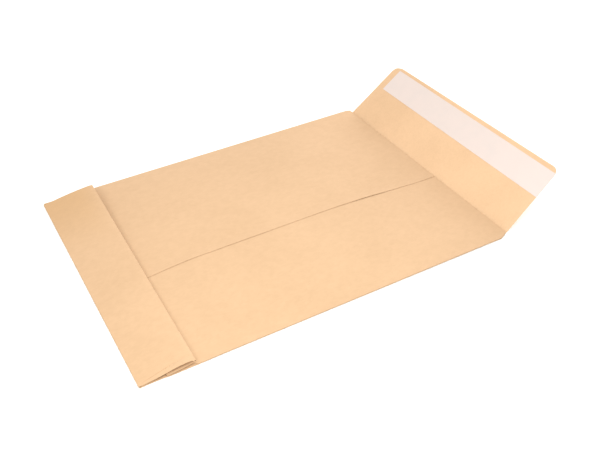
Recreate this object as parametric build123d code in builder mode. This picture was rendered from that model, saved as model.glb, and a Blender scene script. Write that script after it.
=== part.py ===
"""Block-bottom gusset envelope, folded flat, lying on its front panel with its flap open.

One kraft sheet makes the whole envelope. From the front panel it goes round each side
into a gusset with a centre crease, over to a back panel in two halves that lap and are
pasted along the centre seam, and past the mouth into the flap. At the other end it turns
up into the bottom panel, which lies over the back and springs up at its free edge. There
it folds under, runs back to the middle of the bottom, and turns again into the back
panel. The ends of the gussets are tucked between, each as a triangle and a strip.

Frame: millimetres, +X across, +Y from the bottom fold to the flap, +Z up. The origin is
the centre of the front panel's outer face, which is the face that it rests on.
"""

import os
from math import cos, hypot, radians, sin

from build123d import *

# Driving dimensions
body_width = 229.0  # between the side folds
body_length = 324.0  # bottom fold to flap fold
gusset_depth = 40.0  # depth of the sides and of the block bottom
paper = 0.15  # thickness of the kraft sheet
layer_gap = 0.15  # air between two layers that lie on each other
band_rise = 6.0  # height of the bottom panel's free edge
band_inset = 1.0  # the bottom panel stops this far inside each side fold
seam_edge = 20.5  # visible edge of the centre seam, off the middle
seam_lap = 24.5  # pasted width of the centre seam
seam_ramp = 12.0  # the upper half steps up over this width
throat = 1.5  # the mouth's edge stops this far short of the flap fold
shoulder = 5.5  # radius that clips the body's corners at the mouth
flap_length = 64.0  # flap fold to the flap's outer edge
flap_taper = 4.5  # each side of the flap leans in by this much
flap_radius = 8.0  # corners of the flap
flap_angle = 42.0  # the open flap stands up by this angle
flap_bend = 0.6  # radius of the flap fold, to the middle of the sheet
liner_width = 24.0  # release liner along the flap
liner_margin = 4.2  # between the liner and the flap's outer edge
liner_inset = 8.1  # the liner's cut end stops this far inside the -X side
liner_film = 0.08  # thickness of the release liner
adhesive_film = 0.08  # thickness of the adhesive under it
adhesive_inset = 1.0  # bare edge of the liner round the adhesive

# Worked out from them
pitch = paper + layer_gap
half_width = body_width / 2
band_half = half_width - band_inset
tuck_x = half_width - gusset_depth / 2  # centre crease of a gusset
y_bottom = -body_length / 2
y_mouth = body_length / 2
y_middle = y_bottom + gusset_depth / 2  # where the back panel turns under the bottom
y_free = y_bottom + gusset_depth  # free edge of the bottom panel
tall = 2 * band_rise + 10 * pitch  # more than the folded body's height


def level(n):
    """Height of the middle of the sheet in layer n; above layer 3 the seam's lap is cleared."""
    return paper / 2 + n * pitch + (paper if n > 3 else 0)


def reach(low, high):
    """How far a half-round fold from one layer to another stands out from its centre."""
    return (level(high) - level(low) + paper) / 2


def half_turn(at, low, high, side):
    """Half-round fold between two heights, bulging to side +1 or -1."""
    radius = (high - low) / 2
    ThreePointArc((at, low), (at + side * radius, low + radius), (at, high))


def along(start, end, at):
    """Height at one place on the line between two points."""
    return start[1] + (end[1] - start[1]) * (at - start[0]) / (end[0] - start[0])


def raised(point, rise):
    """The same point, moved up."""
    return (point[0], point[1] + rise)


fold_x = half_width - reach(0, 1)  # centres of the side folds
crease_x = tuck_x + reach(1, 2)  # centre of the gusset's inner fold
band_x = band_half - reach(0, 1)  # centres of the folds at the bottom panel's ends
lap_start = seam_edge - seam_lap

# Slanting layers of the bottom, as points (y, z): the bottom panel and the strip under it
free_turn = 3 * pitch  # room at the free edge for the two tucked layers
panel_start = (y_bottom + reach(0, 3), level(3))
panel_end = (y_free - (free_turn + paper) / 2, band_rise - paper / 2)
strip_start = (y_middle + reach(2, 5), level(4))
strip_end = raised(panel_end, -free_turn)


def run(start, end):
    """Direction and length, along a slanting layer."""
    length = hypot(end[0] - start[0], end[1] - start[1])
    return (0, (end[0] - start[0]) / length, (end[1] - start[1]) / length), length


# Half sections of the gusseted tube, one for each side of the centre seam
def gusset_path(side):
    """From the front panel's middle round the gusset to the back panel, on side +1 or -1."""
    Line((0, level(0)), (side * fold_x, level(0)))
    half_turn(side * fold_x, level(0), level(1), side)
    Line((side * fold_x, level(1)), (side * crease_x, level(1)))
    half_turn(side * crease_x, level(1), level(2), -side)
    Line((side * crease_x, level(2)), (side * fold_x, level(2)))
    half_turn(side * fold_x, level(2), level(3), side)


with BuildPart() as tuck_panel:
    # Triangle of the gusset that lies under the bottom panel
    with BuildSketch(Plane.YZ.offset(tuck_x)):
        with BuildLine():
            Line(raised(panel_start, -pitch), raised(panel_end, -pitch))
        trace(line_width=paper)
    extrude(amount=band_x - tuck_x)
    with BuildSketch():
        Polygon((half_width, y_bottom), (half_width, y_free), (tuck_x, y_middle), align=None)
    extrude(amount=tall, mode=Mode.INTERSECT)

with BuildPart() as tuck_strip:
    # End of the gusset's back half, turned over at the middle of the bottom
    with BuildSketch(Plane.YZ.offset(tuck_x)):
        with BuildLine():
            half_turn(strip_start[0], level(2), level(5), -1)
            Line(raised(strip_start, pitch), raised(strip_end, pitch))
        trace(line_width=paper)
    extrude(amount=band_x - tuck_x)
    with BuildSketch():
        Polygon((half_width, y_middle), (half_width, y_free), (tuck_x, y_middle), align=None)
    extrude(amount=tall, mode=Mode.INTERSECT)

with BuildPart() as lower_diagonal:
    # Slanting fold from the gusset's front half up to the triangle
    with BuildSketch():
        with BuildLine():
            Line((band_half, y_bottom + band_inset), (tuck_x, y_middle))
        trace(line_width=paper)
    extrude(amount=tall)
    with BuildSketch(Plane.YZ):
        Polygon(
            (panel_start[0], level(1)),
            (y_free, level(1)),
            (y_free, along(panel_start, panel_end, y_free) - pitch),
            raised(panel_start, -pitch),
            align=None,
        )
    extrude(amount=half_width, mode=Mode.INTERSECT)

with BuildPart() as upper_diagonal:
    # Slanting fold from the tucked strip up to the triangle
    with BuildSketch():
        with BuildLine():
            Line((band_half, y_free - band_inset), (tuck_x, y_middle))
        trace(line_width=paper)
    extrude(amount=tall)
    with BuildSketch(Plane.YZ):
        Polygon(
            raised(strip_start, pitch),
            raised(strip_end, pitch),
            raised(panel_end, -pitch),
            (strip_start[0], along(panel_start, panel_end, strip_start[0]) - pitch),
            align=None,
        )
    extrude(amount=half_width, mode=Mode.INTERSECT)

with BuildPart() as tuck:
    # Everything that is folded in at the +X end of the bottom
    add(tuck_panel.part)
    add(tuck_strip.part)
    add(lower_diagonal.part)
    add(upper_diagonal.part)
    # Fold from the bottom panel's end down to the triangle
    direction, length = run(panel_start, panel_end)
    with BuildSketch(Plane.XZ.offset(-panel_start[0])):
        with BuildLine():
            half_turn(band_x, panel_start[1] - pitch, panel_start[1], 1)
        trace(line_width=paper)
    extrude(amount=length, dir=direction)
    # Fold from the back panel's strip up to the tucked strip
    direction, length = run(strip_start, strip_end)
    with BuildSketch(Plane.XZ.offset(-strip_start[0])):
        with BuildLine():
            half_turn(band_x, strip_start[1], strip_start[1] + pitch, 1)
        trace(line_width=paper)
    extrude(amount=length, dir=direction)

with BuildPart() as envelope_sheet:
    # Gusseted tube from the middle of the bottom to the mouth
    with BuildSketch(Plane.XZ.offset(-(y_mouth - throat))):
        with BuildLine():
            gusset_path(1)
            Line((fold_x, level(3)), (lap_start, level(3)))
        trace(line_width=paper)
        with BuildLine():
            gusset_path(-1)
            Polyline(
                (-fold_x, level(3)),
                (lap_start - seam_ramp, level(3)),
                (lap_start, level(3) + paper),
                (seam_edge, level(3) + paper),
            )
        trace(line_width=paper)
    extrude(amount=y_mouth - throat - strip_start[0])
    # Front halves of the gussets below that, which end on slanting folds
    with BuildSketch(Plane.XZ.offset(-strip_start[0])):
        with BuildLine():
            Line((crease_x, level(1)), (fold_x, level(1)))
            half_turn(fold_x, level(0), level(1), 1)
        trace(line_width=paper)
        with BuildLine():
            Line((-crease_x, level(1)), (-fold_x, level(1)))
            half_turn(-fold_x, level(0), level(1), -1)
        trace(line_width=paper)
    extrude(amount=strip_start[0] - panel_start[0])
    with BuildSketch(Plane.XY.offset(paper + layer_gap / 2)):
        Polygon((half_width, y_bottom), (tuck_x, y_middle), (tuck_x, y_bottom), align=None)
        Polygon((-half_width, y_bottom), (-tuck_x, y_middle), (-tuck_x, y_bottom), align=None)
    extrude(amount=pitch, mode=Mode.SUBTRACT)
    # Front panel, up to the flap fold
    with BuildSketch(Plane.XY):
        Polygon(
            (-fold_x, panel_start[0]),
            (fold_x, panel_start[0]),
            (fold_x, y_mouth),
            (-fold_x, y_mouth),
            align=None,
        )
    extrude(amount=paper)
    # Clipped corners at the mouth
    with BuildSketch(Plane.XY) as outline:
        Rectangle(body_width, body_length)
        fillet(outline.vertices().group_by(Axis.Y)[-1], shoulder)
    extrude(amount=tall, mode=Mode.INTERSECT)

    # Bottom fold, bottom panel, free edge, strip under it, and its turn into the back
    with BuildSketch(Plane.YZ.offset(-band_x)):
        with BuildLine():
            Line((y_middle, level(0)), (panel_start[0], level(0)))
            half_turn(panel_start[0], level(0), level(3), -1)
            Line(panel_start, panel_end)
            half_turn(panel_end[0], strip_end[1], panel_end[1], 1)
            Line(strip_end, strip_start)
            half_turn(strip_start[0], level(3), level(4), -1)
            Line((strip_start[0], level(3)), (y_free, level(3)))
        trace(line_width=paper)
    extrude(amount=2 * band_x)
    add(tuck.part)
    mirror(tuck.part, about=Plane.YZ)

    # Flap fold and flap
    flap_half = half_width - shoulder
    lean = radians(flap_angle)
    flap_root = (y_mouth + flap_bend * sin(lean), level(0) + flap_bend * (1 - cos(lean)))
    with BuildSketch(Plane.YZ.offset(-flap_half)):
        with BuildLine():
            CenterArc((y_mouth, level(0) + flap_bend), flap_bend, -90, flap_angle)
        trace(line_width=paper)
    extrude(amount=2 * flap_half)
    flap_plane = Plane(
        origin=(0, flap_root[0], flap_root[1]),
        x_dir=(1, 0, 0),
        z_dir=(0, -sin(lean), cos(lean)),
    )
    with BuildSketch(flap_plane.offset(-paper / 2)) as flap_outline:
        Polygon(
            (-flap_half, 0),
            (flap_half, 0),
            (flap_half - flap_taper, flap_length),
            (flap_taper - flap_half, flap_length),
            align=None,
        )
        fillet(flap_outline.vertices().group_by(Axis.Y)[-1], flap_radius)
    extrude(amount=paper)
envelope_sheet.part.label = "envelope_sheet"


def flap_side(up):
    """Half width of the flap, this far up from its fold."""
    return flap_half - flap_taper * up / flap_length


def liner_face(inset):
    """Outline of the liner on the flap: short of the flap's side at -X, flush with it at +X."""
    low = flap_length - liner_margin - liner_width + inset
    high = flap_length - liner_margin - inset
    Polygon(
        (liner_inset + inset - flap_side(low), low),
        (flap_side(low) - inset, low),
        (flap_side(high) - inset, high),
        (liner_inset + inset - flap_side(high), high),
        align=None,
    )


with BuildPart() as adhesive_strip:
    with BuildSketch(flap_plane.offset(paper / 2)):
        liner_face(adhesive_inset)
    extrude(amount=adhesive_film)
adhesive_strip.part.label = "adhesive_strip"

with BuildPart() as release_liner:
    with BuildSketch(flap_plane.offset(paper / 2 + adhesive_film)):
        liner_face(0)
    extrude(amount=liner_film)
release_liner.part.label = "release_liner"

os.makedirs("parts", exist_ok=True)
export_step(envelope_sheet.part, "parts/envelope_sheet.step")
export_step(adhesive_strip.part, "parts/adhesive_strip.step")
export_step(release_liner.part, "parts/release_liner.step")

for piece in (envelope_sheet, adhesive_strip, release_liner):
    print(
        piece.part.label,
        "solids", len(piece.part.solids()),
        "volume", round(piece.part.volume, 1),
        "valid", piece.part.is_valid,
    )
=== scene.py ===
"""Looks of a kraft gusset envelope with a block bottom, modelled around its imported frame.

The paper is one sheet. It is built as grids that lie where each layer lies, welded along the
folds that they share and then given the paper's thickness, so that every fold is a real fold.
Lengths are in metres. Across is x, along is the distance from the bottom fold towards the flap.
"""

from math import ceil, cos, exp, pi, radians, sin, sqrt

import bmesh
import bpy
from bpy.props import FloatProperty, FloatVectorProperty, PointerProperty
from mathutils import Matrix, Vector, noise


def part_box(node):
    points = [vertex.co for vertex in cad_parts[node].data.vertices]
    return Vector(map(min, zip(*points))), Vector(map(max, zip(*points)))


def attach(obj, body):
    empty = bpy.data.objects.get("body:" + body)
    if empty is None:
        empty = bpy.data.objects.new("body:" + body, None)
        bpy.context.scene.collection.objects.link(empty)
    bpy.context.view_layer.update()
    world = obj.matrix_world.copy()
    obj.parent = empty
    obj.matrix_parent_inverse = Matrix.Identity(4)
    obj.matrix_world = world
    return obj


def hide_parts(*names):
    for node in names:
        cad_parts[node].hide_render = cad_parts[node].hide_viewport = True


bl_info = {
    "name": "Gusset envelope",
    "version": (1, 0, 0),
    "blender": (4, 5, 0),
    "location": "3D View > Sidebar > Envelope",
    "description": "Folds a kraft envelope with a block bottom around its packed frame",
    "category": "Object",
}

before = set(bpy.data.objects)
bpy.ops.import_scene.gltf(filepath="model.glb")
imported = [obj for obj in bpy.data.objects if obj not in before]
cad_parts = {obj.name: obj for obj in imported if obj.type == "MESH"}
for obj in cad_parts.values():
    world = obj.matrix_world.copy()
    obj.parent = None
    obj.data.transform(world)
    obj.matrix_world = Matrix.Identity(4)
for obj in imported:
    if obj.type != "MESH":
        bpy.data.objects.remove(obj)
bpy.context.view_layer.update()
sheet_low, sheet_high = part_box("envelope_sheet")

MM = 0.001
ACROSS, ALONG, UP = Vector((1, 0, 0)), Vector((0, 1, 0)), Vector((0, 0, 1))


# ------------------------------------------------------------------ sizes and colours


def length(name, description, millimetres):
    """A length that a user can change."""
    return FloatProperty(
        name=name, description=description, default=millimetres * MM, subtype="DISTANCE", unit="LENGTH"
    )


def tone(name, description, colour):
    """A colour that a user can change."""
    return FloatVectorProperty(
        name=name, description=description, default=colour, size=3, min=0, max=1, subtype="COLOR"
    )


def angle(name, description, degrees):
    """An angle that a user can change."""
    return FloatProperty(
        name=name, description=description, default=radians(degrees), subtype="ANGLE", unit="ROTATION"
    )


def spot(name, description, place):
    """A place that a user can change."""
    return FloatVectorProperty(
        name=name, description=description, default=place, size=3, subtype="TRANSLATION", unit="LENGTH"
    )


def power(name, description, watts):
    """A lamp's power, which a user can change."""
    return FloatProperty(
        name=name, description=description, default=watts, subtype="POWER", unit="POWER"
    )


class EnvelopeSizes(bpy.types.PropertyGroup):
    """Sizes of the folded sheet, its liner and its adhesive."""

    paper: length("Paper", "Thickness of the kraft sheet", 0.15)
    layer_gap: length("Layer gap", "Air between two layers that lie on each other", 0.15)
    gusset_depth: length("Gusset", "Depth of the side gussets", 40)
    crown: length("Crown", "Height that the back panel bows up to", 5.6)
    ripple: length("Ripple", "Depth of the back panel's slow waves", 0.3)
    seam_edge: length("Seam edge", "Visible edge of the centre seam, off the middle", 20.5)
    seam_lap: length("Seam lap", "Width of the two halves' overlap at the seam", 24)
    seam_lift: length("Seam lift", "Height that the seam's free edge stands open", 0.34)
    throat: length("Throat", "The mouth's edge stops this far short of the flap fold", 1.5)
    shoulder_near: length("Shoulder, +X", "Length of the clipped corner at the mouth", 9)
    shoulder_far: length("Shoulder, -X", "Length of the clipped corner at the mouth", 7)
    shoulder_width: length("Shoulder width", "The clipped corners are cut in by this much", 5)
    slack_near: length("Slack, +X", "The side fold lies this far inside the full width", 0.9)
    slack_far: length("Slack, -X", "The side fold lies this far inside the full width", 0.4)
    side_lift: length("Side lift", "The +X side fold springs up off the floor by this much", 0.35)
    waist_low: length("Lower waist", "The front panel is drawn in by this much under the bottom panel", 0.5)
    waist_high: length("Upper waist", "The back panel is drawn in by this much under the bottom panel", 3)
    band_depth_near: length("Bottom depth, +X", "Bottom fold to the bottom panel's free edge", 42.8)
    band_depth_far: length("Bottom depth, -X", "Bottom fold to the bottom panel's free edge", 45.5)
    band_rise_near: length("Bottom rise, +X", "Height of the bottom panel's free edge", 4.3)
    band_rise_far: length("Bottom rise, -X", "Height of the bottom panel's free edge", 8.1)
    band_bow: length("Bottom bow", "The bottom panel bulges by this much between its folds", 0.8)
    end_crease: length("End crease", "The bottom panel's +X end bends up this far in", 5)
    end_spring: length("End spring", "The bottom panel's +X end springs up by this much", 1.1)
    strip_sag: length("Strip sag", "The +X end of the strip below it hangs down by this much", 0.45)
    crease_dent: length("Crease dent", "Depth of the crease along that bend", 0.3)
    imprint: length("Seam imprint", "Height of the seam's mark on the bottom panel", 0.12)
    edge_roll: length("Edge roll", "The bottom panel curls down by this much at its free edge", 0.35)
    free_turn: length("Free turn", "Height of the fold at the bottom panel's free edge", 1.35)
    flap_length: length("Flap", "Flap fold to the flap's outer edge", 64.2)
    flap_shrink: length("Flap slant", "The flap is this much shorter at its -X end", 1.4)
    flap_taper: length("Flap taper", "Each side of the flap leans in by this much", 4.5)
    flap_radius_near: length("Flap corner, +X", "Radius of the flap's corner", 6)
    flap_radius_far: length("Flap corner, -X", "Radius of the flap's corner", 9.5)
    flap_bend: length("Flap bend", "Radius of the flap fold, to the middle of the sheet", 0.6)
    flap_wave: length("Flap wave", "Depth of the flap's slow waves", 0.35)
    flap_angle: angle("Flap angle", "The open flap stands up by this angle", 42)
    liner_width: length("Liner", "Width of the release liner", 24)
    liner_margin: length("Liner margin", "Between the liner and the flap's outer edge", 4.2)
    liner_inset: length("Liner inset", "The liner's square end stops this far inside the flap", 8)
    film: length("Film", "Thickness of the liner, and of the adhesive under it", 0.08)
    adhesive_inset: length("Adhesive inset", "Bare edge of the liner round the adhesive", 1)
    grid: length("Grid", "Spacing of the sheet's grid lines", 3)


class EnvelopeColours(bpy.types.PropertyGroup):
    """Colours of the finishes."""

    kraft: tone("Kraft", "Main tone of the kraft paper", (0.614, 0.4025, 0.237))
    kraft_fibre: tone("Kraft fibre", "Darker fibres in the kraft paper", (0.458, 0.292, 0.158))
    # Painted shade: a darker, warmer kraft tone for the bottom's -X corner, where the light falls off.
    painted_shade_kraft: tone("Kraft corner", "Warmer tone of the bottom's -X corner", (0.57, 0.345, 0.165))
    # Partly painted light: the inner face is paler partly by its own smoother finish and partly to make up
    # for the dim, grazing light that the raised flap gets.
    inside_kraft_and_painted_light: tone("Kraft inside", "Tone of the sheet's smoother inner face", (0.772, 0.516, 0.313))
    liner: tone("Liner", "Tone of the release liner", (0.710, 0.610, 0.571))
    liner_cloud: tone("Liner cloud", "Tone of the liner's faint blotches", (0.686, 0.598, 0.563))
    adhesive: tone("Adhesive", "Tone of the adhesive film", (0.80, 0.74, 0.60))
    floor: tone("Floor", "Tone of the floor", (0.96, 0.96, 0.96))


class EnvelopeStage(bpy.types.PropertyGroup):
    """Camera and light."""

    camera_place: spot("Camera", "Where the camera stands", (0.41248, -0.23665, 0.38651))
    camera_heading: angle("Heading", "Direction that the camera looks in, from +X towards +Y", 153.73)
    camera_dip: angle("Dip", "The camera looks down by this angle", 39.79)
    camera_roll: angle("Roll", "The camera leans by this angle", -1.784)
    camera_lens: FloatProperty(
        name="Lens", description="Focal length", default=43.415, subtype="DISTANCE_CAMERA", unit="CAMERA"
    )
    camera_shift: FloatProperty(name="Shift", description="Sideways lens shift", default=0.1117)
    room_light: FloatProperty(name="Room light", description="Strength of the even light", default=0.92)
    room_tone: tone("Room tone", "Tone of the even light", (1.0, 0.975, 0.935))
    key_place: spot("Key place", "Where the soft light on the +X side hangs", (0.272, -0.099, 0.345))
    key_size: length("Key size", "Width of the key light", 300)
    key_power: power("Key light", "Power of the key light", 1.22)
    key_tone: tone("Key tone", "Tone of the key light", (0.96, 1.0, 1.0))
    front_place: spot("Front place", "Where the soft light beyond the bottom fold hangs", (0, -0.60, 0.40))
    front_size: length("Front size", "Width of the front light", 200)
    front_power: power("Front light", "Power of the front light", 0.68)
    front_tone: tone("Front tone", "Tone of the front light", (1.0, 1.0, 1.0))
    back_place: spot("Back place", "Where the soft light behind the flap hangs", (-0.408, 0.706, 0.380))
    back_size: length("Back size", "Width of the back light", 500)
    back_power: power("Back light", "Power of the back light", 4.55)
    back_tone: tone("Back tone", "Tone of the back light", (1.0, 0.975, 0.955))


# ------------------------------------------------------------------ shapes

# Slow waves in the paper: size across, size along, and a number that picks the pattern
BACK_WAVE = (70 * MM, 95 * MM, 3.1)
BACK_RIPPLE = (28 * MM, 60 * MM, 8.4)
MOUTH_WAVE = (24 * MM, 60 * MM, 5.7)
SEAM_WAVE = (MM, 22 * MM, 2.2)
EDGE_WAVE = (45 * MM, MM, 6.3)
BOTTOM_WAVE = (50 * MM, 50 * MM, 1.5)
FLAP_WAVE = (75 * MM, 60 * MM, 4.4)


def smooth(t):
    """0 below 0, 1 above 1, and an even rise between."""
    t = min(max(t, 0), 1)
    return t * t * (3 - 2 * t)


def mix(a, b, t):
    """The value a share t of the way from a to b."""
    return a + (b - a) * t


def patch(place, start, rise, end, fall):
    """1 between start and end, with an even rise after the start and an even fall before the end."""
    return smooth((place - start) / rise) * smooth((end - place) / fall)


def spaced(start, end, step):
    """Even places from start to end, about a step apart."""
    rounding = 1e-6
    count = max(1, ceil(abs(end - start) / step - rounding))
    return [mix(start, end, k / count) for k in range(count + 1)]


def half_turn(start, end, out, steps=8):
    """Points of a half-round fold from one place to another, bulging towards out."""
    centre, arm = (start + end) / 2, (start - end) / 2
    turns = [pi * k / steps for k in range(steps + 1)]
    return [centre + arm * cos(turn) + out * abs(arm.z) * sin(turn) for turn in turns]


def straight(start, end, steps):
    """Points of a straight wall between two places."""
    return [start.lerp(end, k / steps) for k in range(steps + 1)]


def wave(x, along, kind):
    """Slow, smooth unevenness from -1 to 1."""
    across_size, along_size, pattern = kind
    return noise.noise(Vector((x / across_size, along / along_size, pattern)))


class Sheet:
    """Grids of points that are welded where they meet, then given a thickness."""

    weld = 0.01 * MM
    sharp_angle = radians(38)

    def __init__(self):
        self.mesh = bmesh.new()

    def grid(self, rows):
        """Adds one grid. Every row has the same number of points, and a row may shrink to one place."""
        made = [[self.mesh.verts.new(point) for point in row] for row in rows]
        for row, following in zip(made, made[1:]):
            for k in range(len(row) - 1):
                corners = [row[k], row[k + 1], following[k + 1], following[k]]
                self.mesh.faces.new(corners)

    def finish(self, name, thickness, top):
        """Welds the grids and gives them the thickness. top is a place on a face that looks up."""
        bmesh.ops.remove_doubles(self.mesh, verts=self.mesh.verts, dist=self.weld)
        bmesh.ops.dissolve_degenerate(self.mesh, edges=self.mesh.edges, dist=self.weld)
        bmesh.ops.recalc_face_normals(self.mesh, faces=self.mesh.faces)
        nearest = min(self.mesh.faces, key=lambda face: (face.calc_center_median() - top).length)
        if nearest.normal.z < 0:
            bmesh.ops.reverse_faces(self.mesh, faces=self.mesh.faces)
        middle = bpy.data.meshes.new(name + "_middle")
        self.mesh.to_mesh(middle)
        self.mesh.free()
        piece = bpy.data.objects.new(name, middle)
        bpy.context.scene.collection.objects.link(piece)
        thick = piece.modifiers.new("thickness", "SOLIDIFY")
        thick.thickness = thickness
        thick.offset = 0
        thick.use_even_offset = False
        view = bpy.context.evaluated_depsgraph_get()
        solid = bpy.data.meshes.new_from_object(piece.evaluated_get(view))
        solid.name = name
        piece.modifiers.clear()
        piece.data = solid
        bpy.data.meshes.remove(middle)
        solid.shade_smooth()
        solid.set_sharp_from_angle(angle=self.sharp_angle)
        return piece


class Folding:
    """Where each layer of the folded sheet lies."""

    # Grid lines
    band_inset = 1.5 * MM  # the bottom panel's ends stop this far inside the full width
    seam_start = 6 * MM  # the seam parts this far before the bottom panel's free edge
    beside_crease = 0.3 * MM
    beside_seam = (-7, -5, -3.5, -2.2, -1, 0, 1.2, 3)  # in millimetres from the seam's edge
    curl_rows = (3.2, 2.2, 1.4, 0.6, 0)  # in millimetres before the free edge
    least_gap = 0.2 * MM

    # Reaches: a start, a rise, an end and a fall along the sheet
    low_waist = (0, 4 * MM, 24 * MM, 8 * MM)
    high_waist = (0, 14 * MM, 46 * MM, 10 * MM)

    # Sides and back panel
    near_shoulder_curve = 1.15
    side_lift_start, side_lift_ease = 36 * MM, 30 * MM  # along the sheet
    side_lift_inner, side_lift_width = 95 * MM, 19 * MM  # across it
    bow_start, bow_rise, bow_fall = 12 * MM, 78 * MM, 120 * MM
    ripple_rise, ripple_side, small_ripple = 50 * MM, 3, 0.4
    mouth_reach, mouth_rise, mouth_side = 45 * MM, 40 * MM, 30 * MM
    mouth_sag, mouth_uneven = 0.8, 0.25  # in layers
    dip_width = 3 * MM
    seam_uneven, seam_rise, seam_width = 0.45, 6 * MM, 8 * MM
    gape, gape_place, gape_width = 0.9, 248 * MM, 22 * MM

    # Bottom panel: its creases and ends
    edge_uneven = 0.15 * MM
    bow_level, bow_uneven = 0.8, 0.3
    roll_width = 3.5 * MM
    mark_side, mark_edge = 9 * MM, MM
    far_ends = (0.985, 0.9735)  # the -X end's place at the bottom fold and at the free edge
    near_ends = (0.9965, 0.9915)  # the +X end's place there
    crease_slant = (3.6 * MM, -1.6 * MM)  # the crease's place there
    crease_width = 0.1 * MM
    spring_left = 0.1  # share of the +X end's spring that is left at the free edge
    clear_width = 2 * MM

    # Bottom panel: shares of the way from the bottom fold to the free edge
    mark_from, mark_over = 0.3, 0.5
    spring_from, spring_over = 0.3, 0.5
    settle_from, settle_over = 0.88, 0.12
    draw_from, draw_over = 0.2, 0.5
    dent_rise, dent_fall = 0.1, 0.6

    # Strip under it
    strip_far_ends = (1.0, 0.985)  # the -X end's place at the middle fold and at the free edge
    strip_near_ends = (1.003, 0.994)  # the +X end's place there
    strip_clear = 0.1 * MM
    sag_width, sag_left = 16 * MM, 0.2
    sag_rise, sag_fall = 0.3, 0.25  # shares of the way to the free edge

    # Flap
    wave_rise, border_width = 25 * MM, 5 * MM

    def __init__(self, sizes):
        self.sizes = sizes
        self.half_width = sheet_high.x
        self.length = -2 * sheet_low.y
        self.pitch = sizes.paper + sizes.layer_gap
        fold = (self.pitch + sizes.paper) / 2
        # Across: the side fold, the gusset's inner crease and the bottom panel's end
        self.fold_x = self.half_width - fold
        self.crease_x = self.half_width - sizes.gusset_depth / 2 + fold
        self.band_x = self.half_width - self.band_inset
        # Along: the bottom fold, the middle of the bottom, its free edge and the seam's start
        self.start = (3 * self.pitch + sizes.paper) / 2
        self.middle = sizes.gusset_depth / 2 + self.start
        self.band_end = sizes.gusset_depth - (sizes.free_turn + sizes.paper) / 2
        self.split = self.band_end - self.seam_start
        # Along: where the gusset's slanting folds reach the bottom panel's end
        self.low_tip = self.middle - (self.band_x - self.crease_x)
        self.high_tip = self.middle + (self.band_x - self.crease_x)
        self.flap_half = self.half_width - sizes.shoulder_width
        self.shoulder = max(sizes.shoulder_near, sizes.shoulder_far)
        self.flap_root = Vector((0, self.at(self.length), self.level(0)))

    def at(self, along):
        """The row frame's y at a distance from the bottom fold."""
        return sheet_low.y + along

    def level(self, n):
        """Height of the middle of the sheet in layer n of the flat stack."""
        return self.sizes.paper / 2 + n * self.pitch

    # Grid lines

    def side_columns(self):
        """Places across a gusset, from its inner crease out to the side fold."""
        step = self.sizes.grid
        crease = self.band_x - self.sizes.end_crease
        inner = spaced(self.crease_x, crease - self.beside_crease, step)
        outer = [crease] + spaced(crease + self.beside_crease, self.band_x, step)
        return inner + outer + [self.fold_x]

    def columns(self):
        """Places across the whole sheet, close together beside the seam's edge."""
        beside = [self.sizes.seam_edge + step * MM for step in self.beside_seam]
        middle = [
            x
            for x in spaced(-self.crease_x, self.crease_x, self.sizes.grid)
            if min(abs(x - line) for line in beside) > self.sizes.grid / 2
        ]
        side = self.side_columns()[1:]
        return sorted([-x for x in side] + middle + beside + side)

    def low_rows(self):
        """Rows from the bottom fold to the middle of the bottom."""
        gusset_tip = self.middle - (self.fold_x - self.crease_x)
        return [self.start, gusset_tip] + spaced(self.low_tip, self.middle, self.sizes.grid)

    def high_rows(self):
        """Rows from the middle of the bottom to its free edge, close together where it curls."""
        curl = [self.band_end - step * MM for step in self.curl_rows]
        apart = [row for row in curl if abs(row - self.high_tip) > self.least_gap]
        before = [
            row for row in spaced(self.middle, self.high_tip, self.sizes.grid) if row < curl[0] - MM
        ]
        return sorted(before + [self.high_tip] + apart)

    def body_rows(self):
        """Rows of the tube, from the middle of the bottom to where the shoulders start."""
        to_split = spaced(self.middle, self.split, self.sizes.grid)
        on = spaced(self.split, self.length - self.shoulder, self.sizes.grid)
        return to_split, on

    def shoulder_rows(self):
        """Rows where the body's corners are clipped: up to the mouth's edge, and on to the fold."""
        edge_steps, fold_steps = 6, 3
        start = self.length - self.shoulder
        edge = self.length - self.sizes.throat
        to_edge = [mix(start, edge, sin(k * pi / (2 * edge_steps))) for k in range(edge_steps + 1)]
        on = [mix(edge, self.length, sin(k * pi / (2 * fold_steps))) for k in range(fold_steps + 1)]
        return to_edge, on

    # Flat layers of the tube

    def side(self, way, along, low):
        """Half width of the tube on one side, of its low or its high layers."""
        sizes = self.sizes
        to_go = self.length - along
        if way < 0:
            full = self.fold_x - sizes.slack_far
            past = max(0, 1 - to_go / sizes.shoulder_far)
            return mix(self.flap_half, full, sqrt(max(1 - past**2, 0)))
        if low:
            waist = sizes.waist_low * patch(along, *self.low_waist)
        else:
            waist = sizes.waist_high * patch(along, *self.high_waist)
        full = self.fold_x - sizes.slack_near - waist
        past = max(0, 1 - to_go / sizes.shoulder_near)
        return mix(self.flap_half, full, 1 - past**self.near_shoulder_curve)

    def clip(self, x, along, low=True):
        """Draws the sheet's sides in to where they lie."""
        side = self.side(x, along, low)
        inner = self.flap_half if along > self.length - self.shoulder else self.crease_x
        if abs(x) <= inner:
            return x
        drawn = mix(inner, side, (abs(x) - inner) / (self.fold_x - inner))
        return drawn if x > 0 else -drawn

    def lift(self, x, along):
        """How far the sheet's +X side springs up off the floor."""
        ease = self.side_lift_ease
        ends = patch(along, self.side_lift_start, ease, self.length, ease)
        return self.sizes.side_lift * smooth((x - self.side_lift_inner) / self.side_lift_width) * ends

    def layer(self, n, x, along):
        """A place on the front panel, which is layer 0, or on a gusset, layers 1 and 2."""
        height = self.level(n) + self.lift(x, along)
        return Vector((self.clip(x, along, n < 2), self.at(along), height))

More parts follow.
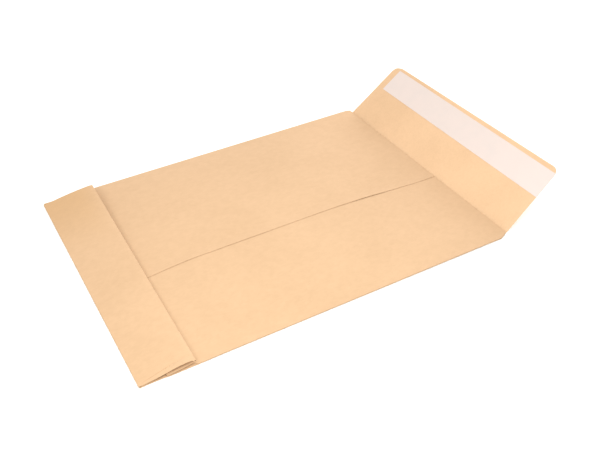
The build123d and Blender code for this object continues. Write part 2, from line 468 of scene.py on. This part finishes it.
    def back_height(self, x, along):
        """Height of the back panel, which bows up between its side folds."""
        sizes = self.sizes
        arch = 1 - (x / self.fold_x) ** 2
        bow = sizes.crown * patch(along, self.bow_start, self.bow_rise, self.length, self.bow_fall) * arch
        mouth = smooth((along - self.length + self.mouth_reach) / self.mouth_rise)
        ease = smooth((along - self.middle) / self.ripple_rise) * min(1, self.ripple_side * arch)
        ripples = wave(x, along, BACK_WAVE) + self.small_ripple * wave(x, along, BACK_RIPPLE)
        height = self.level(3) + bow + sizes.ripple * ripples * ease * (1 - mouth)
        inside = smooth((self.crease_x - abs(x)) / self.mouth_side)
        dip = self.mouth_uneven * wave(x, along, MOUTH_WAVE) - self.mouth_sag
        return height + self.pitch * dip * mouth * inside + self.lift(x, along)

    def back(self, x, along):
        """A place on the back panel before it parts at the seam."""
        return Vector((self.clip(x, along, False), self.at(along), self.back_height(x, along)))

    def near_half(self, x, along):
        """A place on the back panel's +X half, which dips under the seam's lap."""
        place = self.back(x, along)
        place.z -= self.pitch * smooth((self.sizes.seam_edge - x) / self.dip_width)
        return place

    def seam_opening(self, along):
        """How far the seam's edge stands open: unevenly, and most at one place."""
        uneven = 1 + self.seam_uneven * wave(0, along, SEAM_WAVE)
        gaping = self.gape * exp(-(((along - self.gape_place) / self.gape_width) ** 2))
        return self.sizes.seam_lift * (uneven + gaping) * smooth((along - self.split) / self.seam_rise)

    def far_half(self, x, along):
        """A place on the back panel's -X half, whose edge stands a little open."""
        place = self.back(x, along)
        near_edge = smooth((x - self.sizes.seam_edge + self.seam_width) / self.seam_width)
        place.z += self.seam_opening(along) * near_edge
        return place

    # Block bottom

    def side_share(self, x):
        """0 at the -X side, 1 at the +X side."""
        return (x + self.band_x) / (2 * self.band_x)

    def band_stretch(self, x):
        """Real depth of the bottom over the depth that its rows are laid out for."""
        depth = mix(self.sizes.band_depth_far, self.sizes.band_depth_near, self.side_share(x))
        return depth / self.sizes.gusset_depth

    def free_height(self, x):
        """Height of the sheet's middle along the bottom panel's free edge."""
        rise = mix(self.sizes.band_rise_far, self.sizes.band_rise_near, self.side_share(x))
        return rise - self.sizes.paper / 2 + self.edge_uneven * wave(x, 0, EDGE_WAVE)

    def panel_height(self, x, along):
        """Height of the bottom panel, but for its +X end."""
        sizes = self.sizes
        share = (along - self.start) / (self.band_end - self.start)
        uneven = self.bow_level + self.bow_uneven * wave(x, along, BOTTOM_WAVE)
        bow = sizes.band_bow * sin(pi * share) * uneven
        roll = sizes.edge_roll * smooth((along - self.band_end + self.roll_width) / self.roll_width) ** 2
        height = mix(self.level(3), self.free_height(x), share) + bow - roll
        lap_side = sizes.seam_edge - sizes.seam_lap
        mark = patch(x, lap_side, self.mark_side, sizes.seam_edge, self.mark_edge)
        return height + sizes.imprint * smooth((share - self.mark_from) / self.mark_over) * mark

    def panel(self, x, along, creased=True):
        """A place on the bottom panel, the slanting top layer. Its +X end springs up past a crease."""
        share = (along - self.start) / (self.band_end - self.start)
        reach = self.at(along * self.band_stretch(x))
        height = self.panel_height(x, along)
        if x < 0:
            return Vector((x * mix(*self.far_ends, share), reach, height))
        crease = self.band_x - self.sizes.end_crease
        slant = mix(*self.crease_slant, share)
        if x < crease:
            x += slant * smooth((x - self.crease_x) / (crease - self.crease_x))
        else:
            outer = (x - crease) / (self.band_x - crease)
            x += slant * (1 - outer)
            settled = smooth((share - self.settle_from) / self.settle_over)
            bent = smooth((share - self.spring_from) / self.spring_over) * mix(1, self.spring_left, settled)
            height += self.sizes.end_spring * outer * bent
        if creased and abs(x - crease - slant) < self.crease_width:
            height -= self.sizes.crease_dent * patch(share, 0, self.dent_rise, 1, self.dent_fall)
        drawn = smooth((share - self.draw_from) / self.draw_over)
        return Vector((x * mix(*self.near_ends, drawn), reach, height))

    def triangle(self, x, along):
        """A place on the gusset's end where it lies under the bottom panel."""
        clear = self.sizes.crease_dent * smooth((self.band_x - abs(x)) / self.clear_width)
        return self.panel(x, along, creased=False) - UP * (self.pitch + clear)

    def strip(self, x, along):
        """A place on the slanting strip that runs back under the bottom panel."""
        share = (along - self.middle) / (self.band_end - self.middle)
        ends = self.strip_far_ends if x < 0 else self.strip_near_ends
        height = mix(
            self.level(4) + self.strip_clear, self.free_height(x) - self.sizes.free_turn, share
        )
        sag = smooth((x - self.crease_x) / self.sag_width) * smooth(share / self.sag_rise)
        sag *= mix(self.sag_left, 1, smooth((1 - share) / self.sag_fall))
        reach = mix(self.middle, self.band_end * self.band_stretch(x), share)
        return Vector((x * mix(*ends, share), self.at(reach), height - self.sizes.strip_sag * sag))

    def tucked(self, x, along):
        """A place on the gusset's end where it lies on that strip."""
        return self.strip(x, along) + UP * self.pitch

    def diagonal(self, along):
        """Where the gusset's slanting folds run."""
        return self.crease_x + abs(along - self.middle)

    # Flap

    def flap(self, x, up, lift=0.0):
        """A place on the flap, up from its fold, and lifted off its upper face by lift."""
        sizes = self.sizes
        lean = sizes.flap_angle
        slope = Vector((0, cos(lean), sin(lean)))
        face = Vector((0, -sin(lean), cos(lean)))
        root = self.flap_root + Vector((0, sin(lean), 1 - cos(lean))) * sizes.flap_bend
        uneven = sizes.flap_wave * smooth(up / self.wave_rise) * wave(x, up, FLAP_WAVE)
        border = smooth((up - sizes.flap_length + self.border_width) / self.border_width)
        up -= sizes.flap_shrink * border * (0.5 - x / (2 * self.flap_half))
        place = root + slope * up + face * (uneven + lift)
        place.x = x
        return place

    def flap_side(self, up):
        """Half width of the flap at a distance from its fold."""
        return self.flap_half - self.sizes.flap_taper * up / self.sizes.flap_length

    def flap_clip(self, x, up):
        """Narrows a place on the flap's fold to the flap's outline, with its rounded corners."""
        side = self.flap_side(up)
        radius = self.sizes.flap_radius_near if x > 0 else self.sizes.flap_radius_far
        out = abs(x) * side / self.flap_half
        past = up - (self.sizes.flap_length - radius)
        inner = side - radius
        if past > 0 and out > inner:
            out = inner + (out - inner) * sqrt(max(radius**2 - past**2, 0)) / radius
        return out if x > 0 else -out


def fold_tube(sheet, fold):
    """Front panel, gussets and back panel, from the middle of the bottom to the mouth."""
    to_split, on = fold.body_rows()
    to_edge, to_fold = fold.shoulder_rows()
    rows = to_split + on[1:]
    mouth_rows = rows + to_edge[1:]
    gusset_rows = [row for row in fold.low_rows()[1:] if row < fold.middle] + rows
    columns, side = fold.columns(), fold.side_columns()
    panel_rows = fold.low_rows() + rows[1:] + to_edge[1:] + to_fold[1:]
    sheet.grid([[fold.layer(0, x, row) for x in columns] for row in panel_rows])
    for way in (-1, 1):
        for n in (1, 2):
            sheet.grid([[fold.layer(n, way * x, row) for x in side] for row in mouth_rows])
        crease, edge, out = way * fold.crease_x, way * fold.fold_x, way * ACROSS
        sheet.grid([
            half_turn(fold.layer(1, crease, row), fold.layer(2, crease, row), -out)
            for row in mouth_rows
        ])
        sheet.grid([
            half_turn(fold.layer(0, edge, row), fold.layer(1, edge, row), out)
            for row in gusset_rows
        ])
        sheet.grid([half_turn(fold.layer(2, edge, row), fold.back(edge, row), out) for row in rows])
    sheet.grid([[fold.back(x, row) for x in columns] for row in to_split])
    half_rows = on + to_edge[1:]
    seam, past_seam = fold.sizes.seam_edge, fold.sizes.grid / 10
    under = [x for x in columns if x > seam - fold.sizes.seam_lap]
    over = [x for x in columns if x < seam + past_seam]
    sheet.grid([[fold.near_half(x, row) for x in under] for row in half_rows])
    sheet.grid([[fold.far_half(x, row) for x in over] for row in half_rows])


def fold_bottom(sheet, fold):
    """Block bottom: the bottom panel, the strip under it, and the folds that join them."""
    start, middle, end = fold.start, fold.middle, fold.band_end
    columns = [x for x in fold.columns() if abs(x) < fold.fold_x]
    rows = fold.low_rows() + fold.high_rows()[1:]
    sheet.grid([[fold.panel(x, row) for x in columns] for row in rows])
    sheet.grid([[fold.strip(x, row) for x in columns] for row in fold.high_rows()])
    sheet.grid([half_turn(fold.layer(0, x, start), fold.panel(x, start), -ALONG) for x in columns])
    sheet.grid([half_turn(fold.panel(x, end), fold.strip(x, end), ALONG) for x in columns])
    sheet.grid([half_turn(fold.back(x, middle), fold.strip(x, middle), -ALONG) for x in columns])


def tuck_gusset(sheet, fold, way):
    """End of one gusset: a triangle under the bottom panel and a strip turned over below it."""
    wall_steps, tucked_wall_steps = 3, 2
    side, end = fold.side_columns(), way * fold.band_x
    inner, outer = fold.crease_x, fold.fold_x
    low, high = fold.low_rows()[1:], fold.high_rows()[:-1]
    end_rows = low[1:] + high[1:]

    def to_fold(row):
        """Points on the gusset, from its slanting fold to the side fold."""
        slant = fold.diagonal(row)
        return [fold.layer(1, way * mix(slant, outer, (x - inner) / (outer - inner)), row) for x in side]

    def to_end(surface, row):
        """Points on a surface, from the gusset's slanting fold to the bottom panel's end."""
        slant = fold.diagonal(row)
        count = len(side) - 2
        return [surface(way * mix(slant, fold.band_x, k / count), row) for k in range(count + 1)]

    def on_slant(surface, row):
        """The point of a surface on the gusset's slanting fold."""
        return surface(way * fold.diagonal(row), row)

    sheet.grid([to_fold(row) for row in low])
    sheet.grid([to_end(fold.triangle, row) for row in end_rows])
    sheet.grid([to_end(fold.tucked, row) for row in high])
    sheet.grid([
        half_turn(fold.layer(2, way * x, fold.middle), fold.tucked(way * x, fold.middle), -ALONG)
        for x in side[:-1]
    ])
    sheet.grid([
        half_turn(fold.panel(end, row), fold.triangle(end, row), way * ACROSS)
        for row in end_rows
    ])
    sheet.grid([
        half_turn(fold.strip(end, row), fold.tucked(end, row), way * ACROSS)
        for row in high
    ])
    sheet.grid([
        straight(fold.layer(1, way * fold.diagonal(row), row), on_slant(fold.triangle, row), wall_steps)
        for row in end_rows
        if row <= fold.middle
    ])
    sheet.grid([
        straight(on_slant(fold.tucked, row), on_slant(fold.triangle, row), tucked_wall_steps)
        for row in high
    ])


def raise_flap(sheet, fold):
    """Flap fold, and the flap with its rounded corners."""
    bend_steps, corner_steps = 6, 10
    sizes = fold.sizes
    columns = [fold.clip(x, fold.length) for x in fold.columns()]
    bend = sizes.flap_bend
    sheet.grid([
        [fold.flap_root + Vector((x, bend * sin(turn), bend * (1 - cos(turn)))) for x in columns]
        for turn in (sizes.flap_angle * k / bend_steps for k in range(bend_steps + 1))
    ])
    radius = max(sizes.flap_radius_near, sizes.flap_radius_far)
    corner = sizes.flap_length - radius
    turns = [k * pi / (2 * corner_steps) for k in range(1, corner_steps + 1)]
    rows = spaced(0, corner, sizes.grid) + [corner + radius * sin(turn) for turn in turns]
    sheet.grid([[fold.flap(fold.flap_clip(x, up), up) for x in columns] for up in rows])


def liner_rows(fold, inset, lift):
    """Rows of points over the liner's place on the flap, drawn in by inset."""
    sizes = fold.sizes
    low = sizes.flap_length - sizes.liner_margin - sizes.liner_width + inset
    high = sizes.flap_length - sizes.liner_margin - inset
    steps = ceil(2 * fold.flap_side(low) / sizes.grid)
    rows = []
    for up in spaced(low, high, sizes.grid):
        square_end = sizes.liner_inset + inset - fold.flap_side(up)
        flush_end = fold.flap_side(up) - inset
        places = [mix(square_end, flush_end, k / steps) for k in range(steps + 1)]
        rows.append([fold.flap(x, up, lift) for x in places])
    return rows


# ------------------------------------------------------------------ finishes


class Value:
    """A number on the way through a material, which can be written into sums and products."""

    def __init__(self, finish, socket):
        self.finish = finish
        self.socket = socket

    def maths(self, operation, *others):
        """This value put through a Math node."""
        inputs = dict(enumerate((self, *others)))
        return self.finish.node("ShaderNodeMath", {"operation": operation}, inputs)

    def swapped(self, operation, first):
        """A Math node with this value second."""
        return self.finish.node("ShaderNodeMath", {"operation": operation}, {0: first, 1: self})

    def __add__(self, other):
        return self.maths("ADD", other)

    def __sub__(self, other):
        return self.maths("SUBTRACT", other)

    def __mul__(self, other):
        return self.maths("MULTIPLY", other)

    def __rsub__(self, other):
        return self.swapped("SUBTRACT", other)

    __radd__ = __add__
    __rmul__ = __mul__


class Finish:
    """A node-based material, built one node at a time."""

    def __init__(self, name):
        self.material = bpy.data.materials.new(name)
        self.material.use_nodes = True
        self.nodes = self.material.node_tree.nodes
        self.links = self.material.node_tree.links
        self.nodes.clear()

    def node(self, kind, settings, inputs, output=0):
        """Adds a node: its settings, then its sockets' values or links. Gives one of its outputs."""
        made = self.nodes.new(kind)
        for key, value in settings.items():
            setattr(made, key, value)
        for key, value in inputs.items():
            if isinstance(value, Value):
                self.links.new(value.socket, made.inputs[key])
            else:
                made.inputs[key].default_value = value
        return Value(self, made.outputs[output])

    def place(self):
        """Where a point of the surface lies, in metres in the row frame."""
        return self.node("ShaderNodeTexCoord", {}, {}, "Object")

    def facing(self):
        """Which way the surface faces, in the row frame."""
        return self.node("ShaderNodeTexCoord", {}, {}, "Normal")

    def scaled(self, place, scale):
        """A place with each of its axes multiplied."""
        return self.node("ShaderNodeVectorMath", {"operation": "MULTIPLY"}, {0: place, 1: scale})

    def speckle(self, place, scale, detail, roughness=0.5):
        """Soft random unevenness from 0 to 1."""
        inputs = {"Vector": place, "Scale": scale, "Detail": detail, "Roughness": roughness}
        return self.node("ShaderNodeTexNoise", {}, inputs)

    def part(self, place, axis):
        """One axis of a place."""
        return self.node("ShaderNodeSeparateXYZ", {}, {0: place}, axis)

    def step(self, value, start, end):
        """0 below start, 1 above end, and smooth between."""
        inputs = {"Value": value, "From Min": start, "From Max": end}
        return self.node("ShaderNodeMapRange", {"interpolation_type": "SMOOTHSTEP"}, inputs)

    def blend(self, share, first, second):
        """Two colours mixed by a share."""
        settings = {"data_type": "RGBA", "clamp_factor": True}
        return self.node("ShaderNodeMix", settings, {0: share, 6: first, 7: second}, 2)

    def bump(self, height, distance, strength=1.0):
        """A normal from a height."""
        inputs = {"Strength": strength, "Distance": distance, "Height": height}
        return self.node("ShaderNodeBump", {}, inputs)

    def surface(self, inputs):
        """The shader and the material's output."""
        shader = self.node("ShaderNodeBsdfPrincipled", {}, inputs)
        output = self.nodes.new("ShaderNodeOutputMaterial")
        self.links.new(shader.socket, output.inputs["Surface"])
        return self.material


def opaque(colour):
    """A colour with its alpha."""
    return (*colour, 1.0)


def kraft_paper(tones):
    """Machine-finished kraft: cloudy, with fibres and fine ribs along the sheet.

    The flap's inner face is smoother, and paler partly by its own tone and partly by painted light
    that makes up for the dim light on the raised flap. The bottom's -X corner carries painted shade:
    a darker, warmer tone where the light falls off.
    """
    rib_pitch = 1.25 * MM
    fold_line, fold_width = -sheet_low.y, MM
    # Where the painted shade on the bottom's -X corner lies, and how strongly it is mixed in.
    painted_shade_across, painted_shade_along, painted_shade_share = (-20 * MM, -115 * MM), (-108 * MM, -135 * MM), 0.75
    inner_smoothness = 0.6
    finish = Finish("kraft_paper")
    place = finish.place()
    across, along = finish.part(place, "X"), finish.part(place, "Y")
    clouds = finish.speckle(place, 14, 3, 0.55)
    mottle = finish.speckle(finish.scaled(place, (1, 0.7, 1)), 210, 3, 0.6)
    fibres = finish.speckle(finish.scaled(place, (1, 0.25, 1)), 900, 4, 0.65)
    specks = finish.speckle(place, 2600, 2)
    ribs = (across * (2 * pi / rib_pitch)).maths("SINE")
    past_fold = finish.step(along, fold_line - fold_width, fold_line + fold_width)
    upper = finish.step(finish.part(finish.facing(), "Z"), -0.1, 0.1)
    inside = past_fold * upper
    rough_side = 1 - inside * inner_smoothness
    # Painted shade: the bottom's -X corner is mixed towards a darker, warmer tone, where the light falls
    # off.
    corner = finish.step(across, *painted_shade_across) * finish.step(along, *painted_shade_along)
    # The flap's inner face gets the paler inside tone: partly its own, partly painted light for the dim
    # light on the flap.
    base = finish.blend(inside, opaque(tones.kraft), opaque(tones.inside_kraft_and_painted_light))
    base = finish.blend(corner * painted_shade_share, base, opaque(tones.painted_shade_kraft))
    dark = finish.step(fibres, 0.35, 0.75) * 0.13 + finish.step(clouds, 0.3, 0.75) * 0.16
    dark = dark + finish.step(mottle, 0.3, 0.7) * rough_side * 0.14 + specks * 0.06
    height = ribs * 0.18 + fibres * 0.45 + specks * 0.25 + mottle * rough_side * 3.0
    return finish.surface({
        "Base Color": finish.blend(dark, base, opaque(tones.kraft_fibre)),
        "Roughness": 0.72 + clouds * 0.16,
        "Normal": finish.bump(height, 0.03 * MM, 0.8),
        "IOR": 1.46,
        "Specular IOR Level": 0.32,
        "Sheen Weight": 0.08,
        "Sheen Roughness": 0.6,
    })


def liner_paper(tones):
    """Silicone-coated liner: smooth, faintly blotched, with a soft sheen."""
    finish = Finish("liner_paper")
    place = finish.place()
    blotches = finish.speckle(place, 60, 4, 0.6)
    grain = finish.speckle(place, 1500, 2)
    cloudy = finish.step(blotches, 0.4, 0.7) * 0.9
    return finish.surface({
        "Base Color": finish.blend(cloudy, opaque(tones.liner), opaque(tones.liner_cloud)),
        "Roughness": 0.46 + blotches * 0.12,
        "Normal": finish.bump(grain + blotches * 0.6, 0.015 * MM, 0.6),
        "IOR": 1.45,
        "Coat Weight": 0.08,
        "Coat Roughness": 0.35,
    })


def adhesive_film(tones):
    """Pressure-sensitive adhesive: a cloudy, slightly glossy film over the paper."""
    finish = Finish("flap_adhesive")
    streaks = finish.speckle(finish.scaled(finish.place(), (0.3, 1, 1)), 220, 3)
    return finish.surface({
        # The streaks show the inner kraft tone, which is partly painted light.
        "Base Color": finish.blend(streaks * 0.35, opaque(tones.adhesive), opaque(tones.inside_kraft_and_painted_light)),
        "Roughness": 0.25 + streaks * 0.2,
        "Normal": finish.bump(streaks, 0.02 * MM, 0.5),
        "IOR": 1.47,
    })


def floor_card(tones):
    """Matt pale card under the envelope."""
    finish = Finish("floor_card")
    grain = finish.speckle(finish.place(), 300, 2)
    return finish.surface({
        "Base Color": opaque(tones.floor),
        "Roughness": 0.9 + grain * 0.05,
        "Specular IOR Level": 0.1,
    })


# ------------------------------------------------------------------ operators


def stand_for(piece, node, material):
    """Gives a finished piece its material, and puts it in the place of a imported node."""
    piece.data.materials.append(material)
    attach(piece, "root")
    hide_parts(node)


class EnvelopeFoldSheet(bpy.types.Operator):
    """Fold the kraft sheet: panels, gussets, seam, block bottom and flap"""

    bl_idname = "envelope.fold_sheet"
    bl_label = "Fold the sheet"

    def execute(self, context):
        sizes = context.scene.envelope_sizes
        fold, sheet = Folding(sizes), Sheet()
        fold_tube(sheet, fold)
        fold_bottom(sheet, fold)
        for way in (-1, 1):
            tuck_gusset(sheet, fold, way)
        raise_flap(sheet, fold)
        top = fold.back(-fold.half_width / 2, fold.length / 2)
        piece = sheet.finish("folded_sheet", sizes.paper, top)
        stand_for(piece, "envelope_sheet", kraft_paper(context.scene.envelope_colours))
        return {"FINISHED"}


class EnvelopeSpreadAdhesive(bpy.types.Operator):
    """Spread the adhesive film on the flap, under the liner"""

    bl_idname = "envelope.spread_adhesive"
    bl_label = "Spread the adhesive"

    def execute(self, context):
        sizes = context.scene.envelope_sizes
        fold, sheet = Folding(sizes), Sheet()
        rows = liner_rows(fold, sizes.adhesive_inset, (sizes.paper + sizes.film) / 2)
        sheet.grid(rows)
        piece = sheet.finish("adhesive_film", sizes.film, rows[0][0])
        stand_for(piece, "adhesive_strip", adhesive_film(context.scene.envelope_colours))
        return {"FINISHED"}


class EnvelopeLayLiner(bpy.types.Operator):
    """Lay the release liner over the adhesive"""

    bl_idname = "envelope.lay_liner"
    bl_label = "Lay the liner"

    def execute(self, context):
        sizes = context.scene.envelope_sizes
        fold, sheet = Folding(sizes), Sheet()
        rows = liner_rows(fold, 0, (sizes.paper + 3 * sizes.film) / 2)
        sheet.grid(rows)
        piece = sheet.finish("liner_strip", sizes.film, rows[0][0])
        stand_for(piece, "release_liner", liner_paper(context.scene.envelope_colours))
        return {"FINISHED"}


class EnvelopeSetStage(bpy.types.Operator):
    """Set the pale floor, the soft studio light and the camera"""

    bl_idname = "envelope.set_stage"
    bl_label = "Set the stage"

    floor_size = 8.0
    floor_drop = 0.3 * MM
    sensor_width = 36
    nearest_seen = 10 * MM

    def execute(self, context):
        scene = context.scene
        self.lay_floor(scene)
        self.light_room(scene)
        self.place_camera(scene)
        scene.view_settings.view_transform = "Standard"
        scene.view_settings.look = "None"
        return {"FINISHED"}

    def lay_floor(self, scene):
        """The pale card that the envelope lies on."""
        card = bmesh.new()
        bmesh.ops.create_grid(card, x_segments=4, y_segments=4, size=self.floor_size / 2)
        mesh = bpy.data.meshes.new("floor")
        card.to_mesh(mesh)
        card.free()
        floor = bpy.data.objects.new("floor", mesh)
        floor.location.z = -self.floor_drop
        mesh.materials.append(floor_card(scene.envelope_colours))
        scene.collection.objects.link(floor)

    def light_room(self, scene):
        """Even light from all round, and three soft lamps."""
        stage = scene.envelope_stage
        world = bpy.data.worlds.new("studio")
        world.use_nodes = True
        background = world.node_tree.nodes["Background"]
        background.inputs["Color"].default_value = opaque(stage.room_tone)
        background.inputs["Strength"].default_value = stage.room_light
        scene.world = world
        lamps = (
            ("key", stage.key_place, stage.key_size, stage.key_power, stage.key_tone),
            ("front", stage.front_place, stage.front_size, stage.front_power, stage.front_tone),
            ("back", stage.back_place, stage.back_size, stage.back_power, stage.back_tone),
        )
        for lamp in lamps:
            self.hang_lamp(scene, *lamp)

    def hang_lamp(self, scene, name, place, size, watts, colour):
        """One soft square lamp that shines at the row frame's origin."""
        light = bpy.data.lights.new(name, "AREA")
        light.shape = "SQUARE"
        light.size = size
        light.energy = watts
        light.color = colour
        lamp = bpy.data.objects.new(name, light)
        lamp.location = place
        lamp.rotation_euler = (-Vector(place)).to_track_quat("-Z", "Y").to_euler()
        scene.collection.objects.link(lamp)

    def place_camera(self, scene):
        """The camera, turned by its heading, its dip and its roll."""
        stage = scene.envelope_stage
        heading, dip = stage.camera_heading, stage.camera_dip
        ahead = Vector((cos(dip) * cos(heading), cos(dip) * sin(heading), -sin(dip)))
        level_right = Vector((sin(heading), -cos(heading), 0))
        level_up = level_right.cross(ahead)
        lean_cos, lean_sin = cos(stage.camera_roll), sin(stage.camera_roll)
        right = lean_cos * level_right + lean_sin * level_up
        above = -lean_sin * level_right + lean_cos * level_up
        lens = bpy.data.cameras.new("camera")
        lens.sensor_width = self.sensor_width
        lens.lens = stage.camera_lens
        lens.shift_x = stage.camera_shift
        lens.clip_start = self.nearest_seen
        camera = bpy.data.objects.new("camera", lens)
        camera.rotation_euler = Matrix((right, above, -ahead)).transposed().to_euler()
        camera.location = stage.camera_place
        scene.collection.objects.link(camera)
        scene.camera = camera


class EnvelopePanel(bpy.types.Panel):
    """Sizes, colours and steps of the envelope"""

    bl_idname = "VIEW3D_PT_envelope"
    bl_label = "Envelope"
    bl_space_type = "VIEW_3D"
    bl_region_type = "UI"
    bl_category = "Envelope"

    def draw(self, context):
        layout = self.layout
        for step in STEPS:
            layout.operator(step.bl_idname)
        for group in ("envelope_sizes", "envelope_colours", "envelope_stage"):
            settings = getattr(context.scene, group)
            column = layout.column()
            for name in settings.__annotations__:
                column.prop(settings, name)


STEPS = (EnvelopeFoldSheet, EnvelopeSpreadAdhesive, EnvelopeLayLiner, EnvelopeSetStage)
CLASSES = (EnvelopeSizes, EnvelopeColours, EnvelopeStage, *STEPS, EnvelopePanel)


def register():
    """Adds the classes, and the settings that a scene keeps."""
    for made in CLASSES:
        bpy.utils.register_class(made)
    bpy.types.Scene.envelope_sizes = PointerProperty(type=EnvelopeSizes)
    bpy.types.Scene.envelope_colours = PointerProperty(type=EnvelopeColours)
    bpy.types.Scene.envelope_stage = PointerProperty(type=EnvelopeStage)


def unregister():
    """Takes them away again."""
    del bpy.types.Scene.envelope_stage
    del bpy.types.Scene.envelope_colours
    del bpy.types.Scene.envelope_sizes
    for made in reversed(CLASSES):
        bpy.utils.unregister_class(made)


def main():
    """Builds every piece and the stage."""
    register()
    bpy.ops.envelope.fold_sheet()
    bpy.ops.envelope.spread_adhesive()
    bpy.ops.envelope.lay_liner()
    bpy.ops.envelope.set_stage()


if __name__ == "__main__":
    main()
